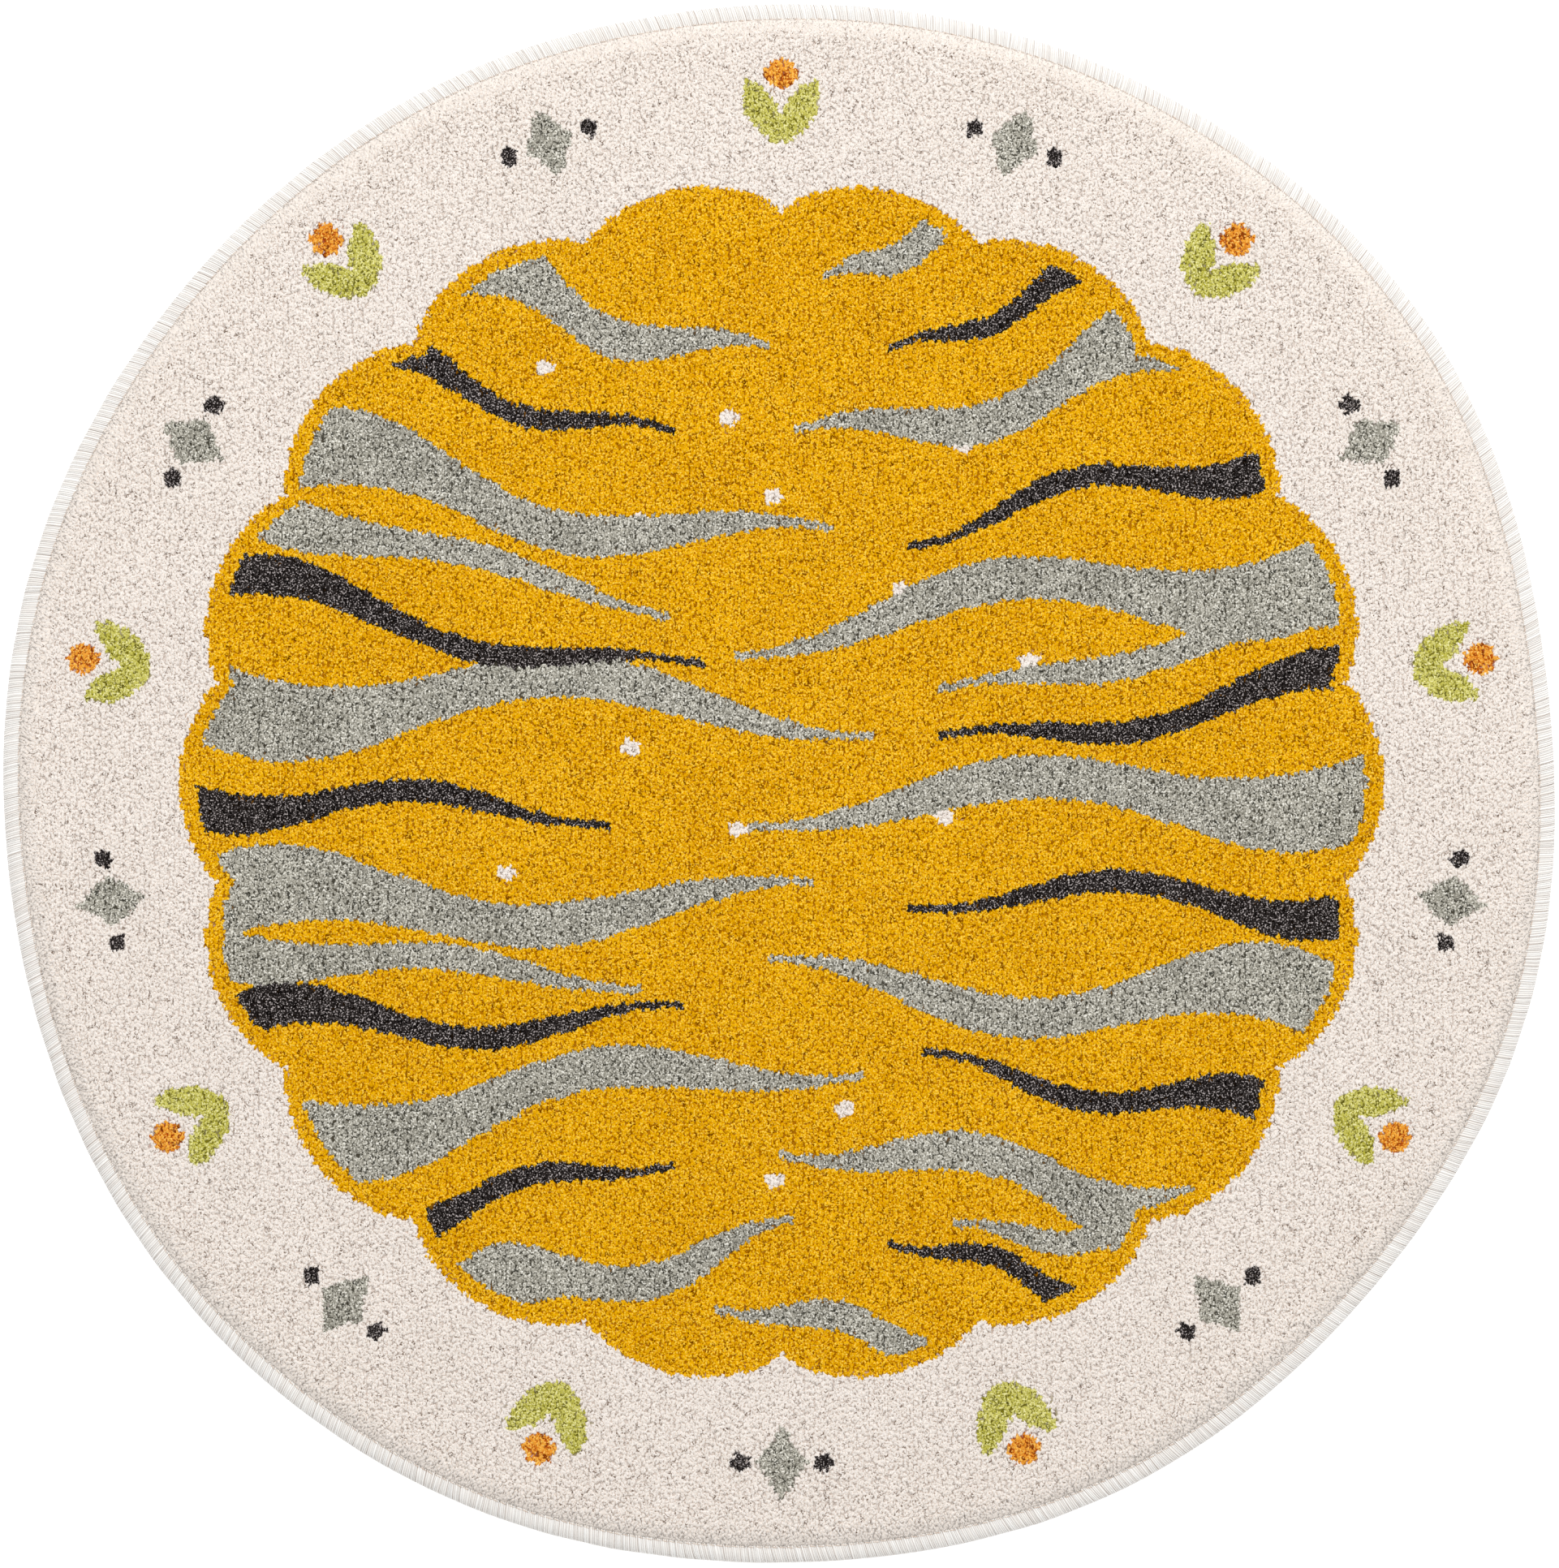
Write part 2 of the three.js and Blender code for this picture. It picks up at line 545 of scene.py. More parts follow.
def lay_field(finishes):
    """The whole field of pile: one piece for each yarn, or more of them, from left to right, where one
    would pass the face limit."""
    crossing, centres = weaving_grid()
    yarn = yarn_at(crossing)
    shape = yarn_end()
    for colour, (label, finish) in enumerate(finishes):
        mine = centres[yarn == colour]
        parts = math.ceil(len(mine) * len(shape[1]) / FACE_LIMIT)
        mine = mine[np.argsort(mine[:, 0], kind="stable")]
        for i, part in enumerate(np.array_split(mine, parts), start=1):
            lay_tufts(
                f"{label}_pile" if parts == 1 else f"{label}_pile_{i}", shape, part,
                lean=brushed(part), radius=END_RADIUS, foot=END_FOOT, top=PILE_TOP,
                finish=finish, slot=f"{label}_pile",
            )


# The pile along the cut

# How the pile rounds off there: how far outwards of its edge, and how far up from the ground cloth to the
# crowd's flat top, from 0 to 1. SHOULDER_BROW is the first point of its upper side.
SHOULDER = (
    (0.0 * MM, 0.0),
    (1.4 * MM, 0.24),
    (1.8 * MM, 0.37),
    (1.0 * MM, 0.49),
    (-1.5 * MM, 0.67),
    (-5.0 * MM, 0.86),
    (-9.0 * MM, 1.0),
)
SHOULDER_BROW = 2
SHOULDER_COLOUR = (243, 234, 225)

# The rows on the shoulder: how far outwards of the pile's edge each stands, how far it rises out of the
# shoulder, how far it is bent outwards, how wide its ends are and how combed it is
RimRow = namedtuple("RimRow", "out rise bend radius combed")
RIM_ROWS = (
    RimRow(1.2 * MM, 0.25 * MM, 0.8, 2.1 * MM, 1.2),
    RimRow(0.1 * MM, 0.35 * MM, 0.6, 2.2 * MM, 1.0),
    RimRow(-1.1 * MM, 0.6 * MM, 0.4, 2.4 * MM, 0.7),
    RimRow(-2.4 * MM, 0.9 * MM, 0.3, 2.6 * MM, 0.4),
    RimRow(-3.8 * MM, 1.15 * MM, 0.2, 2.8 * MM, 0.2),
    RimRow(-5.2 * MM, 1.35 * MM, 0.15, 2.9 * MM, 0.1),
    RimRow(-6.6 * MM, 1.45 * MM, 0.1, 3.0 * MM, 0.05),
    RimRow(-8.0 * MM, 1.5 * MM, 0.05, 3.0 * MM, 0.0),
)
RIM_DEPTH = 8.9 * MM
RIM_END_PITCH = 2.4 * MM
RIM_FOOT_SUNK = 0.7 * MM
RIM_STRAY_ALONG = 0.3
RIM_STRAY_OUT_MM = 0.3


def shoulder_height(out):
    """How high the crowd stands on the shoulder's upper side, at a distance outwards of the pile's edge."""
    outs, shares = np.transpose(SHOULDER[SHOULDER_BROW:])
    return GROUND_TOP + np.interp(out, outs[::-1], shares[::-1]) * (CROWD_TOP - GROUND_TOP)


def lay_rim(finish):
    """The rows along the cut, pressed outwards over the edging: their yarn shows its side, not its end."""
    shape = yarn_end()
    count = round(2 * math.pi * PILE_EDGE / RIM_END_PITCH)
    for number, row in enumerate(RIM_ROWS, start=1):
        stray = chance.uniform(-RIM_STRAY_ALONG, RIM_STRAY_ALONG, count)
        angle = 2 * math.pi * (np.arange(count) + 0.5 * number + stray) / count
        out = np.stack([np.cos(angle), np.sin(angle)], -1)
        stand = row.out + chance.uniform(-RIM_STRAY_OUT_MM, RIM_STRAY_OUT_MM, count) * MM
        surface = shoulder_height(stand)[:, None]
        radius = (PILE_EDGE + stand) * rim_share(angle)
        centres = out * (radius[:, None] - row.bend * (surface - GROUND_TOP))
        lay_tufts(
            f"rim_pile_{number}", shape, centres,
            lean=brushed(centres) + row.bend * out, radius=row.radius, foot=surface - RIM_FOOT_SUNK,
            top=surface + row.rise, finish=finish, slot="cream_pile", combed=row.combed,
            facing=angle - math.pi / 2,
        )


# The crowd: the yarn below the tips, packed so close that it shows only in the gaps between them. Its tint is
# the yarns' painted shade, but for a light cream on the shoulder.

CROWD_RINGS = 72
CROWD_SECTORS = 296

# Its UV map: how far the rings reach from the map's middle, and where its underside lies in a corner
CROWD_REACH = 0.49
UNDERSIDE_REACH = 0.07
UNDERSIDE_CORNER = 0.08


def crowd_rings():
    """The crowd's rings as rows of radius and height: from the middle of its underside, round the shoulder
    and in again to the middle of its top."""
    rings = [(0.0, GROUND_TOP)]
    rings += [(PILE_EDGE + out, GROUND_TOP + share * (CROWD_TOP - GROUND_TOP)) for out, share in SHOULDER]
    edge = rings[-1][0]
    rings += [(edge * (1 - i / CROWD_RINGS), CROWD_TOP) for i in range(1, CROWD_RINGS + 1)]
    return np.array(rings)


def pack_crowd(finish):
    """A closed round slab from the ground cloth up to the feet of the tips, tinted with the painted shade of
    the yarns above it, and a light cream on the shoulder.
    """
    rings = crowd_rings()
    last = len(rings) - 1
    mesh, spot = grid_mesh("pile_crowd", CROWD_SECTORS, last)
    angle = spot[:, 0] * 2 * math.pi
    ring = np.round(spot[:, 1] * last).astype(int)
    place = round_places(rings[ring, 0] * rim_share(angle), angle, rings[ring, 1])
    # The tint is each yarn's painted shade, as shade falls low between the tips; the shoulder is a light
    # cream
    tints = np.array([paint(yarn.deep) for yarn in YARN_COLOURS])[yarn_at(place)]
    tints[(ring > 0) & (ring <= len(SHOULDER))] = paint(SHOULDER_COLOUR)
    place[:, :2] += brushed(place) * (place[:, 2:] - GROUND_TOP)
    write_places(mesh, place)
    write_labels(mesh, {"tint": tints})
    map_crowd(mesh, ring, angle, last)
    weld(mesh)
    return placed("pile_crowd", mesh, finish, "cream_pile")


def map_crowd(mesh, ring, angle, last):
    """A UV map of the crowd: its rings round the middle of the map, and its underside in a corner."""
    corners = read_corners(mesh)
    ring, angle = ring[corners], angle[corners]
    around = np.stack([np.cos(angle), np.sin(angle)], -1)
    spots = 0.5 + around * CROWD_REACH * ((last - ring) / (last - 1))[:, None]
    below = np.repeat(ring.reshape(-1, 4).min(1) == 0, 4)
    spots[below] = UNDERSIDE_CORNER + around[below] * UNDERSIDE_REACH * ring[below, None]
    write_map(mesh, spots)


# The ground cloth

GROUND_SEGMENTS = 384


def weave_ground(finish):
    """The woven cloth that the tufts stand in: a thin closed round that also shows as the rug's back."""
    bm = bmesh.new()
    bmesh.ops.create_cone(
        bm, cap_ends=True, cap_tris=False, segments=GROUND_SEGMENTS,
        radius1=PILE_EDGE, radius2=PILE_EDGE, depth=GROUND_TOP,
    )
    bmesh.ops.translate(bm, verts=bm.verts[:], vec=(0, 0, GROUND_TOP / 2))
    mesh = mesh_from(bm, "ground_cloth")
    place = read_places(mesh)
    place[:, :2] *= rim_share(angle_of(place))[:, None]
    write_places(mesh, place)
    mesh.update()
    return placed("ground_cloth", mesh, finish, "ground_weave", "carpet")


# The overlocked edge

STITCHES = 612
STRANDS_A_STITCH = 4
STEPS_A_STRAND = 3
STRANDS = STITCHES * STRANDS_A_STITCH
EDGE_STEPS = STRANDS * STEPS_A_STRAND

# How the strands lie: the slant of the wrapping, which goes on to this share of the edging's width, how far
# a strand stands up, how deep the valleys beside it and between two stitches are, and how it wanders
STRAND_SLANT = 0.23
SLANT_VARIES = 0.6
SLANT_END = 1.6
BULGE_MM = 0.14
RISE_SPREAD_MM = 0.06
RISE_LIMITS_MM = (-0.15, 0.05)
VALLEY_DEPTH_MM = (0.15, 0.45)
STITCH_DEPTH_MM = (0.0, 0.6)
SHIFT_MM = 0.3
WANDER = 0.3 * MM
RIM_WANDER = 0.25 * MM

# For about how many strands the slant and the two wanders stay alike
SLANT_SPAN = 20
WANDER_SPAN = 5
RIM_WANDER_SPAN = 30

# Its UV map is cut into rows, and each leaves a margin
MAP_ROWS = 12
MAP_MARGIN = 0.02

# The edging's section, from the inner top over the crown and the rim to the inner bottom: each point's
# distance in from the rim, its share of the edging's height, and how free the yarn is to rise and sink there
EdgePoint = namedtuple("EdgePoint", "inward up free")
EDGE_SECTION = (
    EdgePoint(12.8 * MM, 0.86, 0.3),
    EdgePoint(10.6 * MM, 0.92, 1.0),
    EdgePoint(8.2 * MM, 0.975, 1.0),
    EdgePoint(5.6 * MM, 0.985, 1.0),
    EdgePoint(3.1 * MM, 0.86, 1.0),
    EdgePoint(1.4 * MM, 0.66, 0.35),
    EdgePoint(0.3 * MM, 0.42, 0.35),
    EdgePoint(0.3 * MM, 0.17, 0.35),
    EdgePoint(1.5 * MM, 0.04, 0.35),
    EdgePoint(7.7 * MM, 0.015, 0.1),
    EdgePoint(12.8 * MM, 0.015, 0.1),
)

Strands = namedtuple("Strands", "depth shift rise slant wander rim_wander shade")


def smooth_noise(count, span):
    """Random values round a loop, even over about span of them, from -1 to 1."""
    waves = np.zeros(count // 2 + 1, complex)
    top = max(2, count // span)
    waves[1:top] = chance.normal(0, 1, top - 1) + 1j * chance.normal(0, 1, top - 1)
    found = np.fft.irfft(waves, count)
    return found / np.abs(found).max()


def draw_strands():
    """How each strand differs. The first of a stitch has a deeper valley before it and is shifted further.
    The first shift is repeated at the end, where the ring closes."""
    depth = chance.uniform(*VALLEY_DEPTH_MM, STRANDS)
    depth[::STRANDS_A_STITCH] += chance.uniform(*STITCH_DEPTH_MM, STITCHES)
    shift = np.append(chance.uniform(-SHIFT_MM, SHIFT_MM, STRANDS), 0)
    shift[:-1:STRANDS_A_STITCH] *= 2
    shift[-1] = shift[0]
    return Strands(
        depth=depth,
        shift=shift,
        rise=chance.normal(0, RISE_SPREAD_MM, STRANDS).clip(*RISE_LIMITS_MM),
        slant=STRAND_SLANT * (1 + SLANT_VARIES * smooth_noise(STRANDS, SLANT_SPAN)),
        wander=WANDER * smooth_noise(STRANDS, WANDER_SPAN),
        rim_wander=RIM_WANDER * smooth_noise(STRANDS, RIM_WANDER_SPAN),
        shade=chance.uniform(0, 1, STRANDS),
    )


def edge_path():
    """The section's points, the way out of the surface at each, and how far each is along the yarn."""
    section = np.array([(point.inward, point.up * EDGE_HEIGHT) for point in EDGE_SECTION])
    along = np.roll(section, -1, axis=0) - np.roll(section, 1, axis=0)
    outward = np.stack([along[:, 1], -along[:, 0]], -1) / np.linalg.norm(along, axis=1)[:, None]
    outward[[0, -1]] = (0.0, 1.0), (0.0, -1.0)
    travel = np.concatenate([[0], np.cumsum(np.linalg.norm(np.diff(section, axis=0), axis=1))])
    return section, outward, travel


def wrap_edge(finish):
    """The edging yarn as one ring: a grid of steps round the rug by points of the section, with a crest on
    each strand, a valley between strands and a deeper one where the looper thread parts two stitches, all
    swept aside by the slant of the wrapping."""
    section, outward, travel = edge_path()
    mesh, spot = grid_mesh("edging_yarn", EDGE_STEPS, len(section))
    step = np.round(spot[:, 0] * EDGE_STEPS).astype(int)
    point = np.round(spot[:, 1] * len(section)).astype(int)
    map_edge(mesh, step, point, section)
    step, point = step % EDGE_STEPS, point % len(section)
    strand, phase = step // STEPS_A_STRAND, step % STEPS_A_STRAND
    between = phase == 0
    strands = draw_strands()

    bulge = np.where(between, 0.0, BULGE_MM)
    valley = np.where(between, strands.depth[strand], 0)
    free = np.array([at.free for at in EDGE_SECTION])
    lift = (bulge + strands.rise[strand] - valley) * free[point] * MM
    shaped = section[point] + outward[point] * lift[:, None]
    height = np.maximum(shaped[:, 1], 0.0)

    swept = (EDGE_WIDTH - np.minimum(travel[point], SLANT_END * EDGE_WIDTH)) * strands.slant[strand]
    shift, next_shift = strands.shift[strand], strands.shift[strand + 1]
    crowding = shift + (next_shift - shift) * phase / STEPS_A_STRAND
    aside = strands.wander[strand] - swept + crowding * MM
    angle = step / EDGE_STEPS * 2 * math.pi + aside / MEAN_RADIUS
    radius = (MEAN_RADIUS - shaped[:, 0] + strands.rim_wander[strand]) * rim_share(angle)
    write_places(mesh, round_places(radius, angle, height))
    write_labels(mesh, {
        "sunk": valley,
        "between": np.where(between, 1.0, 0.0),
        "shade": strands.shade[strand],
        "along_mm": travel[point] / MM,
        "across_mm": step * 2 * math.pi * MEAN_RADIUS / MM / EDGE_STEPS,
    })
    weld(mesh)
    return placed("edging_yarn", mesh, finish, "edging_yarn", "overlocked_edge")


def map_edge(mesh, step, point, section):
    """A UV map of the edging, cut into strips that are laid one above the other."""
    corners = read_corners(mesh)
    steps_a_row = EDGE_STEPS // MAP_ROWS
    step = step[corners].reshape(-1, 4)
    row = step.min(1, keepdims=True) // steps_a_row
    around = np.linalg.norm(np.roll(section, -1, axis=0) - section, axis=1)
    travel = np.concatenate([[0], np.cumsum(around)]) / around.sum()
    u = step / steps_a_row - row
    up = travel[point[corners].reshape(-1, 4)]
    v = (row + MAP_MARGIN + (1 - 2 * MAP_MARGIN) * up) / MAP_ROWS
    write_map(mesh, np.stack([u, v], -1))


# The looper thread

LOOPS = STITCHES
THREAD_IN = 10.6 * MM
THREAD_HEIGHT = 0.94 * EDGE_HEIGHT
LOOP_STRAY = 0.08
LOOP_STRAY_IN_MM = 0.1
LOOP_HALF_LENGTH_MM = (2.5, 3.0)
LOOP_HALF_THICKNESS_MM = (0.26, 0.38)

# How far a loop's leading end lies outwards of its middle and above it, to pass over the next loop
LOOP_END_OUT_MM = 0.3
LOOP_END_UP_MM = 0.2


def chain_loops(finish):
    """The thread that locks the edging, along its inner side: a chain of short loops, each over the next."""
    bm = bmesh.new()
    bmesh.ops.create_uvsphere(bm, u_segments=5, v_segments=4, radius=1)
    vertices, triangles = read_shape(bm)
    size = len(vertices)
    loop = np.arange(LOOPS) + chance.uniform(-LOOP_STRAY, LOOP_STRAY, LOOPS)
    half_length = chance.uniform(*LOOP_HALF_LENGTH_MM, (LOOPS, 1)) * MM
    thick = chance.uniform(*LOOP_HALF_THICKNESS_MM, (LOOPS, 1)) * MM
    middle = MEAN_RADIUS - THREAD_IN + chance.normal(0, LOOP_STRAY_IN_MM, (LOOPS, 1)) * MM
    along = vertices[:, 0] * half_length
    angle = 2 * math.pi * loop[:, None] / LOOPS + along / MEAN_RADIUS
    radius = (middle + vertices[:, 1] * thick + vertices[:, 0] * LOOP_END_OUT_MM * MM) * rim_share(angle)
    height = THREAD_HEIGHT + vertices[:, 2] * thick + vertices[:, 0] * LOOP_END_UP_MM * MM
    labels = {
        "shade": np.repeat(chance.uniform(0, 1, (LOOPS, 1)), size, 1),
        "along": np.broadcast_to(vertices[:, 0], (LOOPS, size)),
    }
    corners = round_places(radius, angle, height)
    spots = own_cells(vertices, triangles, LOOPS)
    smooth = np.ones(len(triangles), bool)
    mesh = joined_mesh("looper_thread", corners, triangles, smooth, spots, labels)
    return placed("looper_thread", mesh, finish, "looper_thread")


# Making materials


class Wire:
    """A socket in a material. Used in an expression, it adds Math nodes."""

    def __init__(self, finish, socket):
        self.finish = finish
        self.socket = socket

    def output(self, which):
        """Another output of the same node."""
        return Wire(self.finish, self.socket.node.outputs[which])

    def _math(self, operation, *values):
        return self.finish.node("Math", {"operation": operation}, dict(enumerate(values)))

    def __add__(self, other):
        return self._math("ADD", self, other)

    def __sub__(self, other):
        return self._math("SUBTRACT", self, other)

    def __rsub__(self, other):
        return self._math("SUBTRACT", other, self)

    def __mul__(self, other):
        return self._math("MULTIPLY", self, other)

    def __abs__(self):
        return self._math("ABSOLUTE", self)

    __radd__ = __add__
    __rmul__ = __mul__

    def wave(self):
        return self._math("SINE", self)

    def above(self, low, high):
        """0 up to low, 1 from high, and smooth between them."""
        values = {"Value": self, "From Min": low, "From Max": high}
        return self.finish.node("MapRange", {"interpolation_type": "SMOOTHSTEP"}, values)


def paint(colour):
    """A colour given as sRGB numbers from 0 to 255, in the linear numbers that a socket takes."""
    if isinstance(colour, Wire):
        return colour
    shares = [c / 255 for c in colour]
    return (*(c / 12.92 if c <= 0.04045 else ((c + 0.055) / 1.055) ** 2.4 for c in shares), 1)


class Finish:
    """A material on one Principled shader, and one way to add each node to it."""

    def __init__(self, name, **constants):
        self.material = bpy.data.materials.new(name)
        self.material.use_nodes = True
        self.tree = self.material.node_tree
        self.tree.nodes.clear()
        self.shader = self.tree.nodes.new("ShaderNodeBsdfPrincipled")
        output = self.tree.nodes.new("ShaderNodeOutputMaterial")
        self.tree.links.new(self.shader.outputs[0], output.inputs["Surface"])
        for label, value in constants.items():
            self.shader.inputs[label.replace("_", " ")].default_value = value

    def node(self, kind, settings=None, values=None, out=0):
        """Adds a node with its settings, then its socket values or links, and gives one output."""
        made = self.tree.nodes.new("ShaderNode" + kind)
        for label, value in (settings or {}).items():
            setattr(made, label, value)
        for socket, value in (values or {}).items():
            if isinstance(value, Wire):
                self.tree.links.new(value.socket, made.inputs[socket])
            else:
                made.inputs[socket].default_value = value
        return Wire(self, made.outputs[out])

    def attribute(self, label, out="Fac"):
        return self.node("Attribute", {"attribute_name": label}, out=out)

    def noise(self, size_mm, detail=2.0, stretch=(1, 1, 1)):
        """Soft noise whose lumps are about size_mm across, drawn out where stretch is below 1."""
        where = self.node("TexCoord", out="Object")
        spot = self.node("Mapping", {}, {"Vector": where, "Scale": stretch})
        return self.node("TexNoise", {}, {"Vector": spot, "Scale": 1 / (size_mm * MM), "Detail": detail})

    def mix(self, share, first, second):
        """A colour between two, each a wire or sRGB numbers."""
        return self.node("Mix", {"data_type": "RGBA"}, {0: share, 6: paint(first), 7: paint(second)}, out=2)

    def over(self, under, colour, where, low, high, share):
        """Lays a colour over another: none of it where the wire is at low, and share of it from high on."""
        return self.mix(where.above(low, high) * share, under, colour)

    def feed(self, socket, wire):
        self.tree.links.new(wire.socket, self.shader.inputs[socket])

    def bump(self, height, distance, strength):
        values = {"Height": height, "Distance": distance, "Strength": strength}
        self.feed("Normal", self.node("Bump", {}, values))


# Materials

# A yarn's colours: its fibres range from dark to light, then comes the painted shade low between the ends and
# on the crowd below them, and glint is a painted highlight on the lightest fibres. speck is the colour of the
# darkest fibres, and specked says how much their number varies between ends. root is painted shade on the few
# ends that stand for sunk ones and let the eye into the pile.
Yarn = namedtuple("Yarn", "label dark light deep glint speck specked root")
YARN_COLOURS = (
    Yarn(
        "cream", dark=(235, 226, 217), light=(246, 238, 231), deep=(220, 208, 199), glint=(251, 245, 239),
        speck=(192, 176, 164), specked=0.08, root=(122, 100, 84),
    ),
    Yarn(
        "mustard", dark=(217, 155, 0), light=(247, 194, 14), deep=(176, 113, 0), glint=(254, 220, 98),
        speck=(168, 100, 0), specked=0.14, root=(112, 50, 0),
    ),
    Yarn(
        "grey", dark=(136, 133, 121), light=(206, 202, 189), deep=(72, 70, 60), glint=(255, 253, 244),
        speck=(64, 62, 52), specked=0.14, root=(38, 40, 34),
    ),
    Yarn(
        "charcoal", dark=(26, 21, 20), light=(60, 54, 52), deep=(10, 8, 8), glint=(205, 196, 194),
        speck=(12, 9, 9), specked=0.1, root=(6, 5, 5),
    ),
    Yarn(
        "olive", dark=(179, 173, 54), light=(225, 220, 132), deep=(122, 115, 22), glint=(246, 242, 190),
        speck=(122, 115, 20), specked=0.14, root=(84, 78, 6),
    ),
    Yarn(
        "orange", dark=(222, 132, 32), light=(248, 186, 72), deep=(160, 62, 6), glint=(255, 214, 122),
        speck=(176, 72, 12), specked=0.4, root=(124, 40, 0),
    ),
)

# How far the shade and the tone of an end move its own stretch of noise, so that no two ends look the same
TONE_OFFSET = 57
SHADE_OFFSET = 31

# The noise of the strands in an end: about how many go to its radius, and how much they are drawn out
STRAND_SCALE = 3.0
STRAND_STRETCH = 0.5

# How much lighter an end is by its own shade, by its strands and by slow drifts over the rug, and how much
# painted light combing adds, for the fewer shadows of yarn that lies on its side
LIGHTER_BY_SHADE = 0.5
LIGHTER_BY_STRAND = 0.3
LIGHTER_BY_DRIFT = 0.2
PAINTED_LIGHT_BY_COMBING = 0.1

# How combed an end is when a painted sheen on the side of its yarn starts to show, how much a light shade
# adds to the painted glint of its fibres, and how much combing takes from it
COMBED_SHEEN_FROM = 0.4
GLINT_BY_SHADE = 0.1
GLINT_BY_COMBING = 0.1

# The tones of the few ends that are painted as sunk ones, with painted shade where the eye would look into
# the pile. A fibre is one of the darkest where its noise is below a level, which is higher in such an end:
# how soft its edge is, and how much of its colour shows.
SHADED_HOLE_TONES = (0.93, 0.97)
SPECK_LEVEL = 0.42
SPECK_MORE_IN_SHADED_HOLES = 0.06
SPECK_SOFTNESS = 0.09
SPECK_SHARE = 0.9


def pile_finish(yarn):
    """Cut yarn seen end on: fine fibre ends, each end of its own shade, with painted shade towards the root
    and in a few ends that stand for sunk ones, and painted glints on the lightest fibres. Combed yarn is
    painted lighter, with a painted sheen and none of the painted shade.
    """
    finish = Finish(f"{yarn.label}_pile_yarn", Roughness=0.95, Specular_IOR_Level=0.0)
    shade, tone, combed = (finish.attribute(label) for label in ("shade", "tone", "combed"))
    x = finish.node("SeparateXYZ", {}, {0: finish.attribute("in_tuft", out="Vector")})
    y, height = x.output(1), x.output(2)
    spot = finish.node("CombineXYZ", {}, {
        0: x + tone * TONE_OFFSET,
        1: y * STRAND_STRETCH,
        2: shade * SHADE_OFFSET,
    })
    strand = finish.node("TexNoise", {}, {"Vector": spot, "Scale": STRAND_SCALE, "Detail": 2.0})
    fibre = finish.noise(size_mm=1.1, detail=1.0, stretch=(1, 1, 0.5))
    drift = finish.noise(size_mm=38)

    lightness = shade * LIGHTER_BY_SHADE + strand.above(low=0.4, high=0.6) * LIGHTER_BY_STRAND
    lightness = lightness + drift.above(low=0.3, high=0.7) * LIGHTER_BY_DRIFT
    # Combed yarn is painted lighter
    body = finish.mix(lightness + combed * PAINTED_LIGHT_BY_COMBING, yarn.dark, yarn.light)
    # Painted sheen: combed yarn takes on some of the glint colour
    body = finish.over(body, yarn.glint, combed - COMBED_SHEEN_FROM, low=0.0, high=0.9, share=0.2)
    # Painted shade low on each end, where shade falls between the ends; none on combed yarn
    painted_low_shade = (1 - height.above(low=0.1, high=0.45)) * (1 - combed)
    body = finish.over(body, yarn.deep, painted_low_shade, low=0.0, high=1.0, share=0.7)
    # Painted glints: highlights on the lightest fibres, more on light ends and fewer on combed ones
    glinting = fibre + (shade - 0.5) * GLINT_BY_SHADE - combed * GLINT_BY_COMBING
    body = finish.over(body, yarn.glint, glinting, low=0.56, high=0.66, share=0.8)

    # A few ends are painted dark with the root colour, as painted shade of a hole into the pile
    shaded_hole = tone.above(*SHADED_HOLE_TONES)
    low_fibre = SPECK_LEVEL + (tone - 0.5) * yarn.specked + shaded_hole * SPECK_MORE_IN_SHADED_HOLES
    dark = finish.mix(shaded_hole, yarn.speck, yarn.root)
    clear = (fibre - low_fibre + combed).above(low=-SPECK_SOFTNESS, high=0.0)
    body = finish.mix((1 - clear) * SPECK_SHARE, body, dark)
    finish.feed("Base Color", body)
    finish.bump((strand * 0.7 + fibre * 0.5) * (1 - combed * 0.5), distance=0.5 * MM, strength=0.5)
    return finish.material


CROWD_SHADE = (96, 64, 24)
SHADE_BY_MOTTLE = 0.06
SHADE_BY_CLOUD = 0.08


def crowd_finish():
    """The tint of the yarns above, their painted shade but a light cream on the shoulder, mottled like
    crowded fibres.
    """
    finish = Finish("pile_crowd_yarn", Roughness=0.95, Specular_IOR_Level=0.05)
    tint = finish.attribute("tint", out="Color")
    mottle = finish.noise(size_mm=1.4)
    cloud = finish.noise(size_mm=6)
    shade = mottle.above(low=0.35, high=0.65) * SHADE_BY_MOTTLE
    shade = shade + cloud.above(low=0.4, high=0.65) * SHADE_BY_CLOUD
    finish.feed("Base Color", finish.mix(shade, tint, CROWD_SHADE))
    finish.bump(mottle, distance=0.3 * MM, strength=0.4)
    return finish.material


WEAVE_SUNK_SHADE = (176, 158, 128)
WEAVE_RAISED_LIGHT = (222, 208, 182)
WEAVE_FIBRE = (198, 180, 150)
WEAVE_SHADE_UNDER_PILE = (160, 140, 118)
WEAVE_CONTRAST = 0.3
WEAVE_FIBRE_SHARE = 0.35
WEAVE_PATCH_SHARE = 0.2
WEAVE_TOP_FROM = 3.0 * MM
WEAVE_TOP_TO = 3.6 * MM


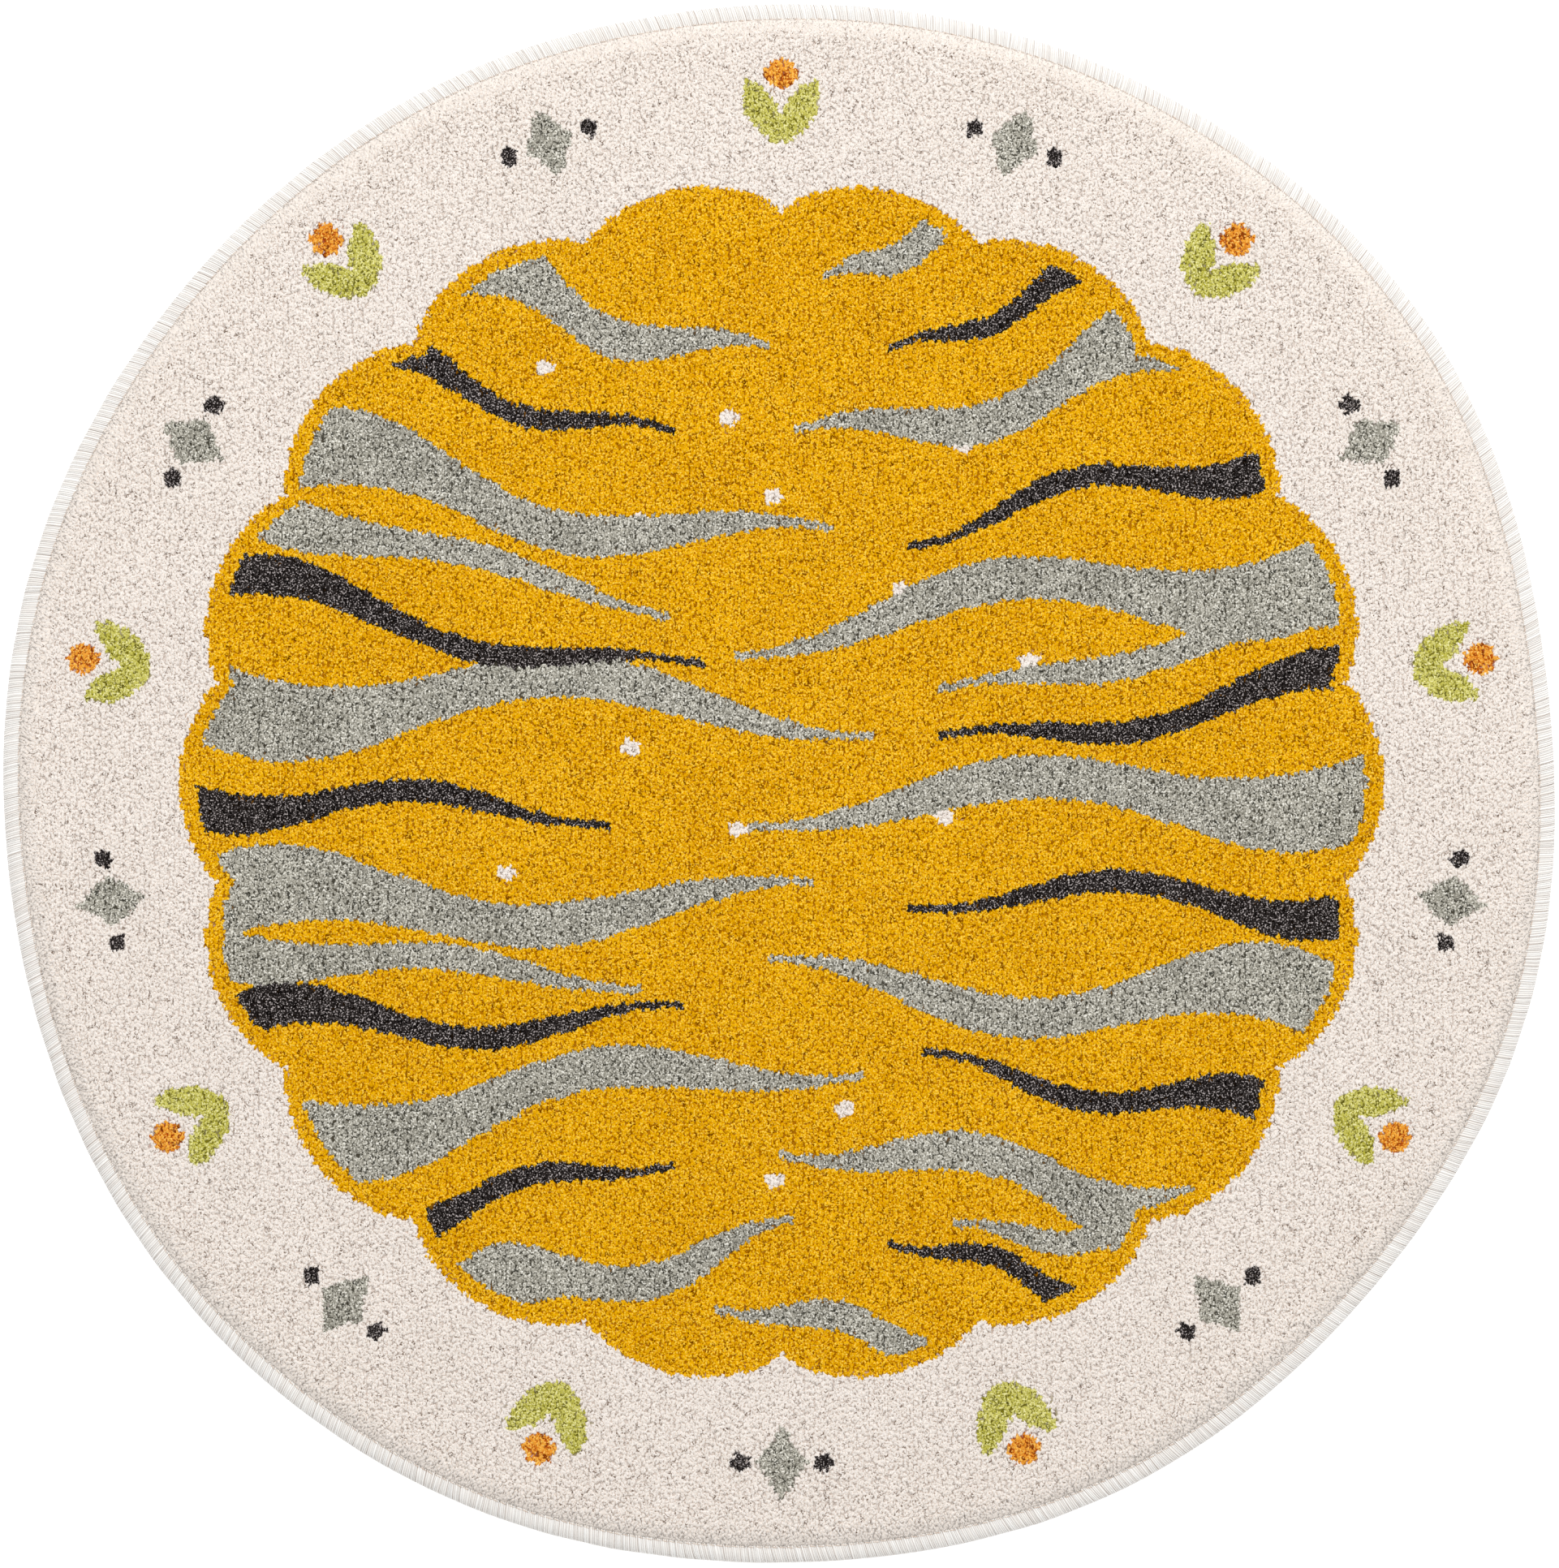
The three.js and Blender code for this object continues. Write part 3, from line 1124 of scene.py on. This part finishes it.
def ground_finish():
    """The back: a plain weave of weft over warp, with painted shade where it is sunk and painted light where
    it is raised, and painted shade, a darker beige, on the side that the pile covers.
    """
    finish = Finish("ground_weave_cloth", Roughness=0.88, Sheen_Weight=0.1, Specular_IOR_Level=0.2)
    x = finish.node("SeparateXYZ", {}, {0: finish.node("TexCoord", out="Object")})
    y, height = x.output(1), x.output(2)
    warp = (x * (2 * math.pi / COLUMN_PITCH)).wave()
    weft = (y * (2 * math.pi / ROW_PITCH)).wave()
    weave = warp * weft
    fibre = finish.noise(size_mm=0.7, stretch=(0.25, 1, 1))
    patch = finish.noise(size_mm=60, detail=3.0)
    # Painted shade and light of the weave: darker where it is sunk, lighter where it is raised
    body = finish.mix(weave * WEAVE_CONTRAST + 0.5, WEAVE_SUNK_SHADE, WEAVE_RAISED_LIGHT)
    fibrous = fibre.above(low=0.4, high=0.7) * WEAVE_FIBRE_SHARE + patch * WEAVE_PATCH_SHARE
    body = finish.mix(fibrous, body, WEAVE_FIBRE)
    # Painted shade on the top that the pile covers
    body = finish.mix(height.above(WEAVE_TOP_FROM, WEAVE_TOP_TO), body, WEAVE_SHADE_UNDER_PILE)
    finish.feed("Base Color", body)
    finish.bump(weave * 0.5 + weft * 0.3 + fibre * 0.2, distance=0.5 * MM, strength=0.8)
    return finish.material


EDGING_SHADED = (244, 239, 233)
EDGING_WHITE = (255, 254, 251)
EDGING_FIBRE = (228, 219, 213)
EDGING_VALLEY_SHADE = (190, 175, 165)
EDGING_FIBRE_SCALE = 1.6
EDGING_FIBRE_STRETCH = 0.12
WHITER_BY_SHADE = 0.7
WHITER_BY_PATCH = 0.3


def edging_finish():
    """White yarn laid side by side: fine fibres along each strand, and a warm painted shade where it is sunk.
    """
    finish = Finish("edging_yarn_wool", Roughness=0.8, Sheen_Weight=0.15, Specular_IOR_Level=0.2)
    sunk, shade = finish.attribute("sunk"), finish.attribute("shade")
    along, across = finish.attribute("along_mm"), finish.attribute("across_mm")
    spot = finish.node("CombineXYZ", {}, {0: along * EDGING_FIBRE_STRETCH, 1: across, 2: 0.0})
    fibre = finish.node("TexNoise", {}, {"Vector": spot, "Scale": EDGING_FIBRE_SCALE, "Detail": 2.0})
    patch = finish.noise(size_mm=30)
    body = finish.mix(shade * WHITER_BY_SHADE + patch * WHITER_BY_PATCH, EDGING_SHADED, EDGING_WHITE)
    body = finish.over(body, EDGING_FIBRE, fibre, low=0.5, high=0.75, share=0.4)
    # Painted shade in the valleys between strands and between stitches
    body = finish.over(body, EDGING_VALLEY_SHADE, sunk, low=0.0, high=0.7, share=0.8)
    finish.feed("Base Color", body)
    finish.bump(fibre * 0.6 - finish.attribute("between"), distance=0.3 * MM, strength=1.0)
    return finish.material


THREAD_DARK = (230, 210, 194)
THREAD_LIGHT = (244, 230, 216)
THREAD_TWIST = (200, 174, 154)
THREAD_END_SHADE = (134, 104, 88)
TWISTS = 22
TWIST_SHARE = 0.3


def thread_finish():
    """Pale tan spun thread with a slight gloss and a fine twist, and painted shade where a loop meets the
    next.
    """
    finish = Finish("looper_thread_tan", Roughness=0.6, Sheen_Weight=0.1, Specular_IOR_Level=0.4)
    along = finish.attribute("along")
    twist = (along * TWISTS).wave()
    body = finish.mix(finish.attribute("shade"), THREAD_DARK, THREAD_LIGHT)
    body = finish.mix((twist * 0.5 + 0.5) * TWIST_SHARE, body, THREAD_TWIST)
    # Painted shade at the ends of each loop, where it dives under the next
    body = finish.over(body, THREAD_END_SHADE, abs(along), low=0.65, high=0.95, share=0.8)
    finish.feed("Base Color", body)
    finish.bump(twist, distance=0.2 * MM, strength=0.6)
    return finish.material


FLOOR_SHADED = (250, 250, 250)
FLOOR_WHITE = (255, 255, 255)
FLOOR_GLOW = 0.42


def floor_finish():
    """A plain white floor with a faint unevenness, lit a little from within like a studio table."""
    finish = Finish("pale_floor", Roughness=0.7, Specular_IOR_Level=0.1, Emission_Strength=FLOOR_GLOW)
    white = finish.mix(finish.noise(size_mm=400), FLOOR_SHADED, FLOOR_WHITE)
    finish.feed("Base Color", white)
    finish.feed("Emission Color", white)
    return finish.material


# The room

FLOOR_REACH = 40.0
ROOM_LIGHT = 0.63
LAMP_PLACE = (0.5, 2.8, 4.4)
LAMP_SIZE = 3.0
LAMP_POWER = 168

CAMERA_HEIGHT = 3.2
SENSOR_WIDTH_MM = 36
NEAREST_SEEN = 0.1
FURTHEST_SEEN = 20


def lay_floor():
    bm = bmesh.new()
    bmesh.ops.create_grid(bm, x_segments=1, y_segments=1, size=FLOOR_REACH)
    floor = in_scene("floor", mesh_from(bm, "floor"))
    floor.data.materials.append(floor_finish())


def hang_lamp():
    """A square soft lamp that faces the rug's centre from beyond its top."""
    lamp = bpy.data.lights.new("key_lamp", "AREA")
    lamp.size = LAMP_SIZE
    lamp.energy = LAMP_POWER
    holder = in_scene("key_lamp", lamp)
    holder.location = LAMP_PLACE
    holder.rotation_mode = "QUATERNION"
    holder.rotation_quaternion = (-holder.location).to_track_quat("-Z", "Y")


def light_room():
    world = bpy.data.worlds.new("soft_room")
    world.use_nodes = True
    background = world.node_tree.nodes["Background"]
    background.inputs["Color"].default_value = (1, 1, 1, 1)
    background.inputs["Strength"].default_value = ROOM_LIGHT
    bpy.context.scene.world = world
    hang_lamp()
    bpy.context.scene.view_settings.view_transform = "Standard"


def set_camera():
    """Straight above the rug, as far up as a product photograph is taken from."""
    metres_a_pixel = MEAN_RADIUS / MEAN_RADIUS_PX
    seen = PHOTO_HEIGHT * metres_a_pixel
    camera = bpy.data.cameras.new("camera")
    camera.sensor_width = SENSOR_WIDTH_MM
    camera.lens = SENSOR_WIDTH_MM * CAMERA_HEIGHT / seen
    camera.clip_start = NEAREST_SEEN
    camera.clip_end = FURTHEST_SEEN
    holder = in_scene("camera", camera)
    aside = (PHOTO_WIDTH / 2 - RUG_CENTRE_X) * metres_a_pixel
    below = (RUG_CENTRE_Y - PHOTO_HEIGHT / 2) * metres_a_pixel
    holder.location = (aside, below, CAMERA_HEIGHT + EDGE_HEIGHT / 2)
    bpy.context.scene.camera = holder


# The rug


def lay_rug():
    pile_finishes = [(yarn.label, pile_finish(yarn)) for yarn in YARN_COLOURS]
    ground = weave_ground(ground_finish())
    pack_crowd(crowd_finish())
    lay_field(pile_finishes)
    lay_rim(pile_finishes[CREAM][1])
    wrap_edge(edging_finish())
    chain_loops(thread_finish())


lay_rug()
lay_floor()
light_room()
set_camera()
